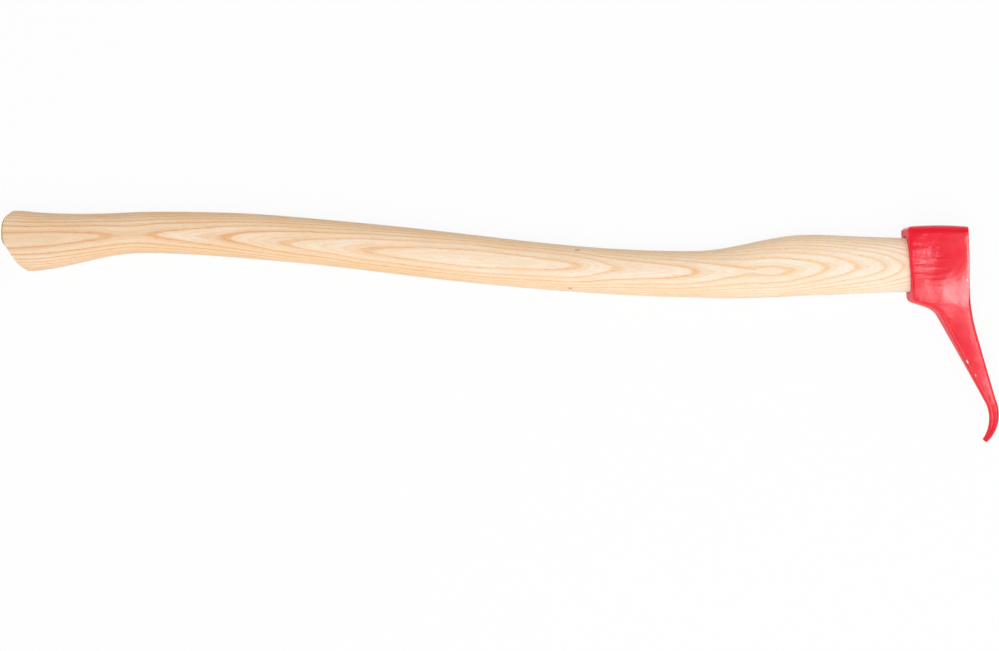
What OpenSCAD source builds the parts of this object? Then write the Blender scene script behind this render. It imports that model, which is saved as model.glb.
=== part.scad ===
// Hand log pick: a forged steel head with one curled pick, wedged on a curved ash handle.
// It lies on its side. X runs along the handle towards the head, Y is up in the plane of
// the pick, and Z is up from the surface. The origin is under the centre of the eye, on the
// head's lower cheek.

/* [Handle] */
// Length of the handle, from the butt to the end of the tenon
handle_length = 800; // [740:5:900]
// Depth of the flared butt
butt_depth = 50.5; // [46:0.5:54]
// Thickness of the flared butt
butt_thickness = 28; // [26:1:30]
// Length over which the butt keeps its full depth
butt_full_length = 6; // [4:1:12]
// Rise of the butt's centre over the eye's axis
butt_rise = 21.4; // [12:0.2:26]
// Distance from the butt to the foot of the handle's curve
foot_from_butt = 26; // [20:1:32]
// Rise of the foot's centre over the eye's axis
foot_rise = 19.5; // [10:0.5:24]
// Distance from the butt to the wrist, where the grip is thinnest
wrist_from_butt = 107; // [95:1:125]
// Depth of the grip at the wrist
wrist_depth = 34.2; // [30:0.2:38]
// Thickness of the grip at the wrist
wrist_thickness = 24.5; // [22:0.5:28]
// Distance from the butt to the crest of the handle's curve
crest_from_butt = 119; // [105:1:140]
// Rise of the crest over the eye's axis
crest_rise = 27.1; // [15:0.1:32]
// Distance from the butt to the palm, where the grip has filled out
palm_from_butt = 232; // [200:1:260]
// Depth of the palm
palm_depth = 37.9; // [34:0.1:42]
// Distance from the butt to the belly
belly_from_butt = 363; // [320:1:400]
// Depth of the belly
belly_depth = 40.2; // [36:0.2:44]
// Thickness of the belly
belly_thickness = 26; // [22:0.5:29]
// Distance from the eye's centre back to the waist, where this end of the handle is shallowest
waist_from_eye = 271; // [250:1:300]
// Depth of the waist
waist_depth = 37.9; // [34:0.1:42]
// Distance from the eye's centre back to where the depth starts to grow into the shoulder
swell_from_eye = 209; // [190:1:230]
// Depth where it starts to grow
swell_depth = 38.3; // [34:0.1:42]
// Distance from the eye's centre back to the trough of the handle's curve
trough_from_eye = 197; // [180:1:230]
// Drop of the trough's centre under the eye's axis
trough_drop = 7.7; // [2:0.1:12]
// Distance from the eye's centre back to the shoulder
shoulder_from_eye = 114.5; // [100:0.5:130]
// Depth of the shoulder
shoulder_depth = 50.7; // [46:0.1:54]
// Thickness of the shoulder
shoulder_thickness = 26; // [23:0.5:29]
// Distance from the eye's centre back to where the handle runs straight
straight_from_eye = 100.5; // [80:0.5:110]
// How far the butt's upper corner is rounded back
heel_round = 20; // [10:0.5:26]
// How far the butt's slanted cut falls back at the lower edge
cut_back = 18; // [10:0.5:22]
// Extra rounding where the cut meets the lower edge
toe_round = 4; // [2:0.5:8]
// Chamfer round the butt's end
butt_chamfer = 2; // [1:0.25:3]
// How far the tenon stands out of the eye
tenon_proud = 0.5; // [0.5:0.25:3]

/* [Head] */
// Thickness of the head over its two cheeks
head_thickness = 31; // [29:0.5:34]
// Height of the head's crown over the eye's axis
crown_rise = 32.9; // [30:0.1:36]
// Height of the rounded part of the crown
crown_round = 7; // [5:0.5:12]
// Rounding of the crown's corner at the mouth, seen from the side
crown_corner = 5.5; // [1:0.5:8]
// Distance from the eye's centre to the socket's mouth
mouth_from_eye = 24.6; // [21:0.1:27]
// Lean of the socket's mouth, in degrees
mouth_lean = 4.5; // [0:0.5:7]
// Distance from the eye's centre to the head's far face
face_from_eye = 24.5; // [21:0.5:27]
// Lean of the head's far face, in degrees
face_lean = 1.8; // [0:0.2:4]
// Rounding of the head's edges
head_edge_round = 1.5; // [0.5:0.25:2.5]
// Drop of the socket's lower lip under the eye's axis
lip_drop = 30.6; // [29:0.1:34]
// Slope of the socket's underside, down from the lip to the pick, in degrees
lip_slope = 18; // [14:1:24]
// Width of the bevel along the socket's underside
lip_bevel = 5; // [2:0.5:6]
// Length of the fillet between the socket's underside and the pick
root_fillet = 8; // [4:0.5:12]
// Reach of the bend between the far face and the pick's outer side, each way from their corner
outer_bend = 21; // [10:1:26]

/* [Eye] */
// Height of the eye in its middle
eye_height = 45.2; // [42:0.2:47]
// Width of the eye in its middle
eye_width = 21.5; // [19:0.5:23]
// How much wider each side of the eye is at its far face
eye_flare = 1; // [0.5:0.1:1.5]
// Rounding of the mouth's inner edge
mouth_chamfer = 1; // [0.5:0.1:1.5]
// Fitting clearance between the wood and the steel, each side
fit_gap = 0.1; // [0.05:0.05:0.3]

/* [Pick] */
// Distance along X from the eye's centre to the middle of the pick's root
root_reach = 13.2; // [10:0.2:15]
// Drop of the pick's root under the eye's axis
root_drop = 37.4; // [36:0.2:42]
// Width of the pick at its root, seen from the side
root_width = 24.8; // [22:0.2:28]
// Thickness of the pick at its root
root_thickness = 26; // [20:0.5:28]
// Slant of the pick away from the handle, in degrees
pick_slant = 22.7; // [18:0.1:26]
// Length of the pick's straight shank
shank_length = 83.4; // [70:0.2:95]
// Width of the pick where its curl starts
curl_width = 8.2; // [6:0.1:9]
// Thickness of the pick where its curl starts
curl_thickness = 9; // [7:0.5:11]
// Radius of the curl along its middle
curl_radius = 30; // [24:1:38]
// Angle that the curl turns back towards the handle
curl_angle = 65; // [50:1:75]
// Width of the tip
tip_width = 4.4; // [3:0.1:5]
// Thickness of the tip
tip_thickness = 4.5; // [3:0.5:6]
// Rounding of the pick's edges
pick_edge_round = 2.4; // [1:0.2:3]

/* [Wedges] */
// Length of the wooden wedge in the kerf
wedge_length = 34; // [26:1:38]
// Thickness of the wooden wedge at its outer end
wedge_thickness = 4.2; // [3:0.2:5]
// Thickness of the wooden wedge at its inner edge
wedge_edge = 1.2; // [0.8:0.1:1.6]
// Height of the wooden wedge across the eye
wedge_height = 43; // [36:1:43]
// Free depth of the kerf past the wedge
kerf_spare = 5; // [2:0.5:8]
// Outer diameter of the ring wedge
ring_diameter = 14; // [11:0.5:16]
// Wall of the ring wedge
ring_wall = 1.6; // [1:0.1:2]
// Depth to which the ring wedge is driven
ring_depth = 16; // [10:1:20]
// Length of the ring wedge's cutting bevel
ring_bevel = 5; // [3:0.5:7]

/* [Hidden] */
$fn = 48;

butt_x = face_from_eye + tenon_proud - handle_length;
tenon_end = face_from_eye + tenon_proud;
oval_power = 2.35;
oval_points = 40;
ring_pitch = 12;
butt_reach = 45;
butt_steps = 7;
pick_taper_power = 1.4;
crown_power = 2.2;
crown_angles = [4, 12, 24, 38, 52, 66, 80, 90];
corner_points = 4;
underside_steps = 4;
fillet_steps = 4;
shank_steps = 10;
curl_steps = 12;
// The head is lofted this much longer than the socket, and its mouth is then cut
mouth_spare = 8;
// Cutters run past the surfaces that they cut
overshoot = 5;
// Rows start to fan out this far above the lip
lip_turn = 7;
// Share of half a row's thickness that its rounding may take
round_limit = 0.96;

// Centre line, depth and thickness of the handle, each as [x, value] where it stands still
RISES = [
    [butt_x, butt_rise],
    [butt_x + foot_from_butt, foot_rise],
    [butt_x + crest_from_butt, crest_rise],
    [-trough_from_eye, -trough_drop],
    [-straight_from_eye, 0]
];
DEPTHS = [
    [butt_x + butt_full_length, butt_depth],
    [butt_x + wrist_from_butt, wrist_depth],
    [butt_x + palm_from_butt, palm_depth],
    [butt_x + belly_from_butt, belly_depth],
    [-waist_from_eye, waist_depth],
    [-swell_from_eye, swell_depth],
    [-shoulder_from_eye, shoulder_depth],
    [-mouth_from_eye, eye_height - 2 * fit_gap]
];
THICKNESSES = [
    [butt_x + butt_full_length, butt_thickness],
    [butt_x + wrist_from_butt, wrist_thickness],
    [butt_x + belly_from_butt, belly_thickness],
    [-shoulder_from_eye, shoulder_thickness],
    [-mouth_from_eye, eye_width - 2 * fit_gap]
];

// Soft step from 0 to 1
function soft(t) = let (c = max(0, min(1, t))) c * c * (3 - 2 * c);

// Value at x of a list of [x, value] stops, with a soft step between stops
function eased(x, stops, i = 0) =
    x <= stops[0][0] ? stops[0][1]
    : i >= len(stops) - 1 ? stops[len(stops) - 1][1]
    : x <= stops[i + 1][0] ?
        stops[i][1] + (stops[i + 1][1] - stops[i][1])
            * soft((x - stops[i][0]) / (stops[i + 1][0] - stops[i][0]))
    : eased(x, stops, i + 1);

// Signed power, for the rounded-square oval of the wood and the eye
function spow(v, p) = sign(v) * pow(abs(v), p);
function oval_y(a) = spow(sin(a), 2 / oval_power);
function oval_z(a) = spow(cos(a), 2 / oval_power);

// How much the eye has grown at x: nothing as far as its middle, then an even flare
function flare_at(x) = x <= 0 ? 0 : eye_flare * x / face_from_eye;

// How far the butt's end lies behind its foremost point, at v from -1 below to 1 above
function butt_end(v) = v > 0
    ? heel_round * (1 - pow(1 - min(1, pow(v, 3)), 1 / 3))
    : cut_back * -v + toe_round * pow(-v, 8);

// One ring of the handle at x, with each point moved along X to follow the butt's end by
// share t, and drawn in by inset
function handle_ring(x, t = 0, inset = 0, back = 0) = [
    for (i = [0 : oval_points - 1])
        let (
            a = 90 - 360 * i / oval_points,
            v = oval_y(a),
            end_x = butt_x + butt_end(v) + back,
            px = x * (1 - t) + end_x * t,
            grown = px > -mouth_from_eye ? flare_at(px) : 0,
            half_depth = eased(px, DEPTHS) / 2 + grown - inset,
            half_thickness = eased(px, THICKNESSES) / 2 + grown - inset
        )
        [px, eased(px, RISES) + half_depth * v, half_thickness * oval_z(a)]
];

// Triangles between one ring and the next, for rings of n points
function side_faces(rings, n) = [
    for (k = [0 : rings - 2])
        for (i = [0 : n - 1])
            let (a = k * n + i, b = k * n + (i + 1) % n)
                each [[b + n, b, a], [a + n, b + n, a]]
];

// Cap of a ring whose points i and n - i face each other, as a strip of triangles
function strip_cap(first, n) = [
    for (i = [0 : n / 2 - 1])
        each (
            i == 0 ? [[first, first + n - 1, first + 1]]
            : i == n / 2 - 1 ? [[first + i, first + n - i, first + i + 1]]
            : [
                [first + i, first + n - i, first + n - i - 1],
                [first + i, first + n - i - 1, first + i + 1]
            ]
        )
];
function flipped(faces) = [for (f = faces) [f[2], f[1], f[0]]];

// Solid through a list of rings with the same number of points each
module loft(rings) {
    n = len(rings[0]);
    count = len(rings);
    polyhedron(
        points = [for (ring = rings) each ring],
        faces = concat(
            side_faces(count, n),
            flipped(strip_cap(0, n)),
            strip_cap((count - 1) * n, n)
        )
    );
}

// Wood of the handle before its kerf is cut
module handle_wood() {
    ring_span = tenon_end - butt_x - butt_reach;
    ring_count = ceil(ring_span / ring_pitch);
    loft(concat(
        [handle_ring(0, 1, butt_chamfer)],
        [
            for (k = [0 : butt_steps - 1])
                handle_ring(butt_x + butt_reach, 1 - k / butt_steps, 0, butt_chamfer)
        ],
        [
            for (k = [0 : ring_count])
                handle_ring(butt_x + butt_reach + ring_span * k / ring_count)
        ]
    ));
}

// Side profile of the wooden wedge, drawn from its outer end at x = 0 inwards
module wedge_profile(gap = 0, spare = 0) {
    outer = wedge_thickness / 2 + gap;
    inner = wedge_edge / 2 + gap;
    polygon([
        [0, -outer],
        [0, outer],
        [-wedge_length, inner],
        [-wedge_length - spare, inner],
        [-wedge_length - spare, -inner],
        [-wedge_length, -inner]
    ]);
}

// The profile carried across the eye, with its thickness along Z
module wedge_block(height, gap = 0, spare = 0) {
    translate([tenon_end, height / 2, 0])
        rotate([90, 0, 0])
            linear_extrude(height)
                wedge_profile(gap, spare);
}

// Wall of the ring wedge turned about its axis, bevelled outside at its cutting edge
module ring_wall_profile(gap = 0) {
    outer = ring_diameter / 2 + gap;
    inner = ring_diameter / 2 - ring_wall - gap;
    polygon([
        [inner, 0],
        [outer, 0],
        [outer, -ring_depth + ring_bevel],
        [inner + ring_wall / 4 + 2 * gap, -ring_depth - gap],
        [inner, -ring_depth - gap]
    ]);
}

module ring_block(gap = 0) {
    translate([tenon_end, 0, 0])
        rotate([0, 90, 0])
            rotate_extrude()
                ring_wall_profile(gap);
}

// One row across the head from its handle side to its far side, as a rounded rectangle
// half_z thick each way, with its own rounding at each end
function head_row(left, right, half_z, round_left, round_right) =
    let (
        span = right - left,
        along = span / norm(span),
        limit = min(half_z, norm(span) / 2) * round_limit,
        rl = min(round_left, limit),
        rr = min(round_right, limit)
    )
    [
        for (corner = [0 : 3])
            for (k = [0 : corner_points])
                let (
                    a = 90 * (k / corner_points) + 90 * corner,
                    r = corner == 0 || corner == 3 ? rr : rl,
                    // From the far side's middle round by +Z, the handle side and -Z
                    foot = corner == 0 || corner == 3 ? right - along * r : left + along * r,
                    cz = corner < 2 ? half_z - r : r - half_z,
                    p = foot + along * r * cos(a)
                )
                [p[0], p[1], cz + r * sin(a)]
    ];

function face_x(y) = face_from_eye - y * tan(face_lean);
function mouth_x(y) = -mouth_from_eye - y * tan(mouth_lean);
function quad(a, b, c, t) = a * (1 - t) * (1 - t) + b * 2 * t * (1 - t) + c * t * t;

// The pick's middle line: its direction and its normal in the plane of the pick
shank_dir = [sin(pick_slant), -cos(pick_slant)];
shank_side = [cos(pick_slant), sin(pick_slant)];
root_mid = [root_reach, -root_drop];
root_left = root_mid - shank_side * root_width / 2;
root_right = root_mid + shank_side * root_width / 2;
curl_start = root_mid + shank_dir * shank_length;
curl_centre = curl_start - shank_side * curl_radius;
curl_left = curl_start - shank_side * curl_width / 2;
curl_right = curl_start + shank_side * curl_width / 2;
blank_left = -mouth_from_eye - mouth_spare;
socket_foot = lip_turn - lip_drop;

// Point where the line from p along d meets the line from q along e
function meet(p, d, q, e) =
    p + d * ((q[0] - p[0]) * e[1] - (q[1] - p[1]) * e[0]) / (d[0] * e[1] - d[1] * e[0]);

// The socket's underside runs from its lip, carried on past the mouth, to the pick's inner edge
underside_dir = [cos(lip_slope), -sin(lip_slope)];
lip = [mouth_x(-lip_drop), -lip_drop];
lip_start = lip - underside_dir * (lip[0] - blank_left) / underside_dir[0];
inner_corner = meet(lip, underside_dir, root_left, curl_left - root_left);
fillet_start = inner_corner - underside_dir * root_fillet;

// The outer side: down the far face, round a bend and along the pick
face_rise = [-tan(face_lean), 1];
pick_fall = (curl_right - root_right) / (root_right[1] - curl_right[1]);
outer_corner = meet([face_from_eye, 0], face_rise, root_right, pick_fall);
function outer_bend_x(t) =
    quad(outer_corner + face_rise * outer_bend, outer_corner, outer_corner + pick_fall * outer_bend, t)[0];
function outer_x(y) =
    let (below = outer_corner[1] - y)
    below < -outer_bend ? face_x(y)
    : below > outer_bend ? outer_corner[0] + pick_fall[0] * below
    : outer_bend_x((below / outer_bend + 1) / 2);

half_head = head_thickness / 2;
half_root = root_thickness / 2;
half_curl = curl_thickness / 2;

CROWN_ROWS = [
    for (a = crown_angles)
        let (
            y = crown_rise - crown_round + crown_round * pow(cos(a), 2 / crown_power),
            half_z = half_head * pow(sin(a), 2 / crown_power)
        )
        head_row(
            [blank_left, y], [face_x(y), y], half_z, head_edge_round, head_edge_round
        )
];
SOCKET_ROWS = [
    for (y = [(crown_rise - crown_round + socket_foot) / 2, socket_foot])
        head_row(
            [blank_left, y], [outer_x(y), y], half_head, head_edge_round, head_edge_round
        )
];
UNDERSIDE = [
    for (k = [0 : underside_steps - 1])
        lip_start + (fillet_start - lip_start) * k / underside_steps
];
FILLET = [
    for (k = [0 : fillet_steps - 1])
        quad(fillet_start, inner_corner, root_left, k / fillet_steps)
];
root_steps = underside_steps + fillet_steps;
ROOT_ROWS = [
    for (k = [0 : root_steps - 1])
        let (
            t = k / root_steps,
            left = concat(UNDERSIDE, FILLET)[k],
            fan_t = (k + 1) / (root_steps + 1),
            right_y = socket_foot * (1 - fan_t) + root_right[1] * fan_t
        )
        head_row(
            left, [outer_x(right_y), right_y], half_head + (half_root - half_head) * soft(t),
            lip_bevel + (pick_edge_round - lip_bevel) * t,
            head_edge_round + (pick_edge_round - head_edge_round) * t
        )
];
SHANK_ROWS = [
    for (k = [0 : shank_steps - 1])
        let (
            t = k / shank_steps,
            mid = root_mid + shank_dir * shank_length * t,
            half_w = (root_width + (curl_width - root_width) * t) / 2,
            right_y = mid[1] + shank_side[1] * half_w,
            half_z = half_curl + (half_root - half_curl) * pow(1 - t, pick_taper_power)
        )
        head_row(
            mid - shank_side * half_w, [outer_x(right_y), right_y], half_z,
            pick_edge_round, pick_edge_round
        )
];
CURL_ROWS = [
    for (k = [0 : curl_steps])
        let (
            t = k / curl_steps,
            a = pick_slant - curl_angle * t,
            side = [cos(a), sin(a)],
            mid = curl_centre + side * curl_radius,
            half_w = (curl_width + (tip_width - curl_width) * t * t) / 2,
            half_z = (curl_thickness + (tip_thickness - curl_thickness) * t) / 2
        )
        head_row(mid - side * half_w, mid + side * half_w, half_z, pick_edge_round, pick_edge_round)
];

// The forging before its eye is punched, longer than the socket on the handle's side
module head_blank() {
    loft(concat(CROWN_ROWS, SOCKET_ROWS, ROOT_ROWS, SHANK_ROWS, CURL_ROWS));
}

// Side view of what is cut off at the mouth: all on the handle's side of it, and the corner
// that is rounded off under the crown
module mouth_profile() {
    reach = mouth_spare + overshoot;
    tall = 4 * lip_drop;
    difference() {
        translate([-2 * reach, -tall / 2])
            square([2 * reach + crown_corner, tall]);
        translate([crown_corner, crown_rise - crown_corner - tall])
            offset(r = crown_corner)
                square([tall, tall]);
    }
}

// The profile carried through the head and leaned with the mouth
module mouth_cutter() {
    translate([-mouth_from_eye, 0, -head_thickness])
        rotate([0, 0, mouth_lean])
            linear_extrude(2 * head_thickness)
                mouth_profile();
}

// One oval across the eye at x, grown by the given amount each side
function eye_ring(x, grown) = [
    for (i = [0 : oval_points - 1])
        let (a = 90 - 360 * i / oval_points)
            [x, (eye_height / 2 + grown) * oval_y(a), (eye_width / 2 + grown) * oval_z(a)]
];

// The eye: an opened mouth, a straight stretch and an even flare to the far face
module eye_cutter() {
    lean_reach = lip_drop * tan(mouth_lean);
    chamfer_end = -mouth_from_eye + lean_reach + mouth_chamfer;
    chamfer_start = -mouth_from_eye - lean_reach;
    far = face_from_eye + overshoot;
    loft([
        eye_ring(blank_left - overshoot, mouth_chamfer),
        eye_ring(chamfer_start, mouth_chamfer),
        eye_ring(chamfer_end, 0),
        eye_ring(0, 0),
        eye_ring(far, flare_at(far))
    ]);
}

// Lifts a piece from the tool's middle plane to where it lies on its cheek
module laid_down() {
    translate([0, 0, half_head])
        children();
}

module handle() {
    color([0.96, 0.84, 0.69])
        laid_down()
            difference() {
                handle_wood();
                wedge_block(shoulder_depth, fit_gap, kerf_spare);
                ring_block(fit_gap);
            }
}

module pick_head() {
    color([0.9, 0.14, 0.2])
        laid_down()
            difference() {
                head_blank();
                mouth_cutter();
                eye_cutter();
            }
}

module wooden_wedge() {
    color([0.8, 0.62, 0.42])
        laid_down()
            difference() {
                wedge_block(wedge_height);
                ring_block(fit_gap);
            }
}

module ring_wedge() {
    color([0.6, 0.6, 0.62])
        laid_down()
            ring_block();
}

handle();
pick_head();
wooden_wedge();
ring_wedge();
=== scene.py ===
# %% [markdown]
# # A hand log pick
# A log pick is a forged steel head with one curled pick, wedged on a curved ash handle. Foresters
# swing it with one hand to hook and roll logs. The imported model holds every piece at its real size, so
# this lesson starts by loading it, and then gives each piece the shape and finish that the eye sees.
# Lengths below are in millimetres, as on a workshop drawing, and turned into metres at the end.

import math
from functools import partial

import bmesh
import bpy
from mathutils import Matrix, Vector, noise


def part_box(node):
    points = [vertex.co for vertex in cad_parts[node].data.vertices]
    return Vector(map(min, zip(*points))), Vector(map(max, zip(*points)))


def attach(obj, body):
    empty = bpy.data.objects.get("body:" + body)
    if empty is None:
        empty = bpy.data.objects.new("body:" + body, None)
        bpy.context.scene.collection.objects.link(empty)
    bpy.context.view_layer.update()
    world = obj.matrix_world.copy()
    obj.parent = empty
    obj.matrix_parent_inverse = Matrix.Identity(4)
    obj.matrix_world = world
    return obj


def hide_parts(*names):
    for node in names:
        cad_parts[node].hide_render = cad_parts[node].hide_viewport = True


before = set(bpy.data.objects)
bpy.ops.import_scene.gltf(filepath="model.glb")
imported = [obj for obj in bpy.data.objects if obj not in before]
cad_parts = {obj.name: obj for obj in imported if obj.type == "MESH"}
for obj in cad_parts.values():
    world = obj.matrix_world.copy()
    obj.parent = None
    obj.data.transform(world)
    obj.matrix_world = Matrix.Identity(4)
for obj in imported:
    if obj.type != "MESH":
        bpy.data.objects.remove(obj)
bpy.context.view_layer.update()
MM = 0.001

handle_low, handle_high = (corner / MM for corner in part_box("handle"))
head_low, head_high = (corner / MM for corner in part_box("pick_head"))
butt_x = handle_low.x
tenon_end = handle_high.x
middle_z = (head_low.z + head_high.z) / 2
half_head = (head_high.z - head_low.z) / 2
print("handle from", round(butt_x), "to", round(tenon_end), "mm; middle plane at", round(middle_z, 1))

# %% [markdown]
# ## The camera
# The tool lies on its side and the camera looks straight down on it, so the picture's width sets the
# scale: the butt's middle lies a few pixels inside its left edge, and the eye's centre near its right
# one. From about 1.75 m the near edges shift outwards, so the butt just reaches the picture's edge and
# the far rim of the socket's mouth shows left of the near one.

# %% Place the camera over the tool
PICTURE_WIDE = 999
PICTURE_HIGH = 651
EYE_PIXEL_X = 936.6
EYE_PIXEL_Y = 265.0
BUTT_PIXEL_X = 4.6
CAMERA_RISE = 1750
SENSOR_WIDE = 36

mm_per_pixel = -butt_x / (EYE_PIXEL_X - BUTT_PIXEL_X)
centre_x = (PICTURE_WIDE / 2 - EYE_PIXEL_X) * mm_per_pixel
centre_y = (EYE_PIXEL_Y - PICTURE_HIGH / 2) * mm_per_pixel

bpy.ops.object.select_all(action="DESELECT")
bpy.ops.object.camera_add(
    location=(centre_x * MM, centre_y * MM, (middle_z + CAMERA_RISE) * MM), rotation=(0, 0, 0)
)
camera = bpy.context.object
camera.name = "photo_camera"
camera.data.sensor_width = SENSOR_WIDE
camera.data.lens = SENSOR_WIDE * CAMERA_RISE / (PICTURE_WIDE * mm_per_pixel)
bpy.context.scene.camera = camera
print("camera lens", round(camera.data.lens, 1), "mm, scale", round(mm_per_pixel, 4), "mm a pixel")

# %% [markdown]
# ## Helpers for shapes
# Both big pieces are long bodies whose section changes all the way, so they are made by pulling out one
# ring after another, as a hand modeller does with extrude. A soft step, flat at both ends, carries a
# size from one place to the next without a corner.

# %% Soft steps and rings
def soft(t):
    """Soft step from 0 to 1."""
    t = max(0.0, min(1.0, t))
    return t * t * (3 - 2 * t)


def eased(x, stops):
    """Value at x of a list of (x, value) stops, with a soft step between stops."""
    if x <= stops[0][0]:
        return stops[0][1]
    for (x0, v0), (x1, v1) in zip(stops, stops[1:]):
        if x <= x1:
            return v0 + (v1 - v0) * soft((x - x0) / (x1 - x0))
    return stops[-1][1]


def mix(a, b, t):
    """The value a share t of the way from a to b, for numbers and vectors."""
    return a * (1 - t) + b * t


def signed_power(value, power):
    """Power that keeps the sign, for ovals with squarer corners."""
    return math.copysign(abs(value) ** power, value)


def put_ring(mesh, ring):
    """Puts the selected points of a mesh in edit mode on the ring's places, in order."""
    chosen = [vert for vert in mesh.verts if vert.select]
    for vert, place in zip(chosen, ring):
        vert.co = Vector(place) * MM


def pull_rings(name, rings):
    """Adds a circle and extrudes it along the rings. Its two ends stay open."""
    bpy.ops.object.select_all(action="DESELECT")
    bpy.ops.mesh.primitive_circle_add(vertices=len(rings[0]), radius=MM)
    piece = bpy.context.object
    piece.name = name
    piece.data.name = name
    bpy.ops.object.mode_set(mode="EDIT")
    bpy.ops.mesh.select_all(action="SELECT")
    for count, ring in enumerate(rings):
        if count:
            bpy.ops.mesh.extrude_region_move()
        put_ring(bmesh.from_edit_mesh(piece.data), ring)
    bmesh.update_edit_mesh(piece.data)
    bpy.ops.object.mode_set(mode="OBJECT")
    return piece


def select_points(piece, wanted):
    """Selects only the points with these numbers, in edit mode."""
    bpy.ops.mesh.select_mode(type="VERT")
    bpy.ops.mesh.select_all(action="DESELECT")
    mesh = bmesh.from_edit_mesh(piece.data)
    mesh.verts.ensure_lookup_table()
    for number in wanted:
        mesh.verts[number].select = True
    mesh.select_flush_mode()
    bmesh.update_edit_mesh(piece.data)


def close_end(piece, first, count):
    """Closes one end with strips across it, between the points that face each other."""
    bpy.ops.object.mode_set(mode="EDIT")
    for i in range(count // 2):
        corners = {first + i, first + i + 1, first + (count - i) % count, first + count - i - 1}
        select_points(piece, corners)
        bpy.ops.mesh.edge_face_add()
    bpy.ops.object.mode_set(mode="OBJECT")


def pick_only(piece):
    """Makes a piece the only selected one and the active one."""
    bpy.ops.object.select_all(action="DESELECT")
    piece.select_set(True)
    bpy.context.view_layer.objects.active = piece


def face_outwards(piece):
    """Makes every face of a closed piece look outwards."""
    pick_only(piece)
    bpy.ops.object.mode_set(mode="EDIT")
    bpy.ops.mesh.select_all(action="SELECT")
    bpy.ops.mesh.normals_make_consistent(inside=False)
    bpy.ops.object.mode_set(mode="OBJECT")


def cut_away(piece, cutter):
    """Takes the cutter's solid out of the piece, and deletes the cutter."""
    pick_only(piece)
    cut = piece.modifiers.new("cut", "BOOLEAN")
    cut.operation = "DIFFERENCE"
    cut.solver = "EXACT"
    cut.object = cutter
    bpy.ops.object.modifier_apply(modifier=cut.name)
    bpy.data.objects.remove(cutter)


def smooth(piece, degrees):
    """Shades smooth where faces meet at less than this angle."""
    pick_only(piece)
    bpy.ops.object.shade_smooth_by_angle(angle=math.radians(degrees))


def report(piece):
    print(piece.name, "has", len(piece.data.polygons), "faces")


# %% [markdown]
# ## The handle's shape
# The handle is sawn from an ash board in a long S, turned or shaved to an oval, and flares at the butt
# so that it can't slip out of the hand. Its middle line, depth and thickness each stand still at a few
# places, such as the wrist and the waist, and go softly from one to the next.

# %% Where the handle's sizes stand still
MOUTH = 24.6
EYE_DEEP = 45.2
EYE_WIDE = 21.5
EYE_FLARE = 1.0
FAR_FACE = 24.5
FIT_GAP = 0.1
OVAL_POWER = 2.35
FOOT = butt_x + 26

RISES = [(butt_x, 21.4), (FOOT, 19.5), (butt_x + 119, 27.1), (-197, -7.7), (-100.5, 0.0)]
DEPTHS = [
    (butt_x + 6, 50.5), (butt_x + 107, 34.2), (butt_x + 232, 37.9), (butt_x + 363, 40.2),
    (-271, 37.9), (-209, 38.3), (-114.5, 50.7), (-MOUTH, EYE_DEEP),
]
THICKNESSES = [
    (butt_x + 6, 28), (butt_x + 107, 24.5), (butt_x + 363, 26), (-114.5, 26), (-MOUTH, EYE_WIDE),
]


def flare_at(x):
    """How much the eye has grown at x on each side: nothing before its middle."""
    return max(0.0, EYE_FLARE * x / FAR_FACE)


def half_depth(x):
    return eased(x, DEPTHS) / 2 + (flare_at(x) - FIT_GAP if x > -MOUTH else 0)


def half_thickness(x):
    return eased(x, THICKNESSES) / 2 + (flare_at(x) - FIT_GAP if x > -MOUTH else 0)


# %% [markdown]
# The butt is first sawn off at a slant and its heel is then rounded over, so its end is an outline in
# the plane of the pick: a round heel above, a straight cut below it and a small rounded toe.

# %% The outline of the butt's end
HEEL_Y = 26.9
HEEL_TALL = 17.1
HEEL_BACK = 20
HEEL_POWER = 2.6
CUT_TOP_Y = 17.6
CUT_SLOPE = 0.745
CUT_SOFT = 1.5
TOE_TOP_Y = 6
TOE_ROUND = 0.0215
TOE_POWER = 2.5
HEEL_LIMIT = 0.995
BUTT_CHAMFER = 1.8
HEEL_TOP = 44.9


def butt_end_x(y):
    """Where the butt's end lies along the handle, at a height y."""
    above = min(max(0.0, (y - HEEL_Y) / HEEL_TALL), HEEL_LIMIT)
    heel = HEEL_BACK * (1 - (1 - above**HEEL_POWER) ** (1 / HEEL_POWER))
    below = CUT_TOP_Y - y
    cut = CUT_SLOPE * (below + math.hypot(below, CUT_SOFT)) / 2
    toe = TOE_ROUND * max(0.0, TOE_TOP_Y - y) ** TOE_POWER
    return butt_x + heel + cut + toe


# %% Pull out the handle's rings
HANDLE_POINTS = 64
RING_PITCH = 6
BUTT_REACH = 46
BUTT_STEPS = 9
CHAMFER_STEPS = 4


def handle_ring(x, to_end=0.0, inset=0.0, back=0.0):
    """One oval round the handle at x, moved along it to follow the butt's end by a share."""
    ring = []
    for i in range(HANDLE_POINTS):
        a = math.tau * (0.25 - i / HANDLE_POINTS)
        up = signed_power(math.sin(a), 2 / OVAL_POWER)
        out = signed_power(math.cos(a), 2 / OVAL_POWER)
        full_y = eased(x, RISES) + half_depth(x) * up
        place_x = mix(x, butt_end_x(full_y) + back, to_end)
        y = min(HEEL_TOP, eased(place_x, RISES) + (half_depth(place_x) - inset) * up)
        ring.append((place_x, y, middle_z + (half_thickness(place_x) - inset) * out))
    return ring


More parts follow.
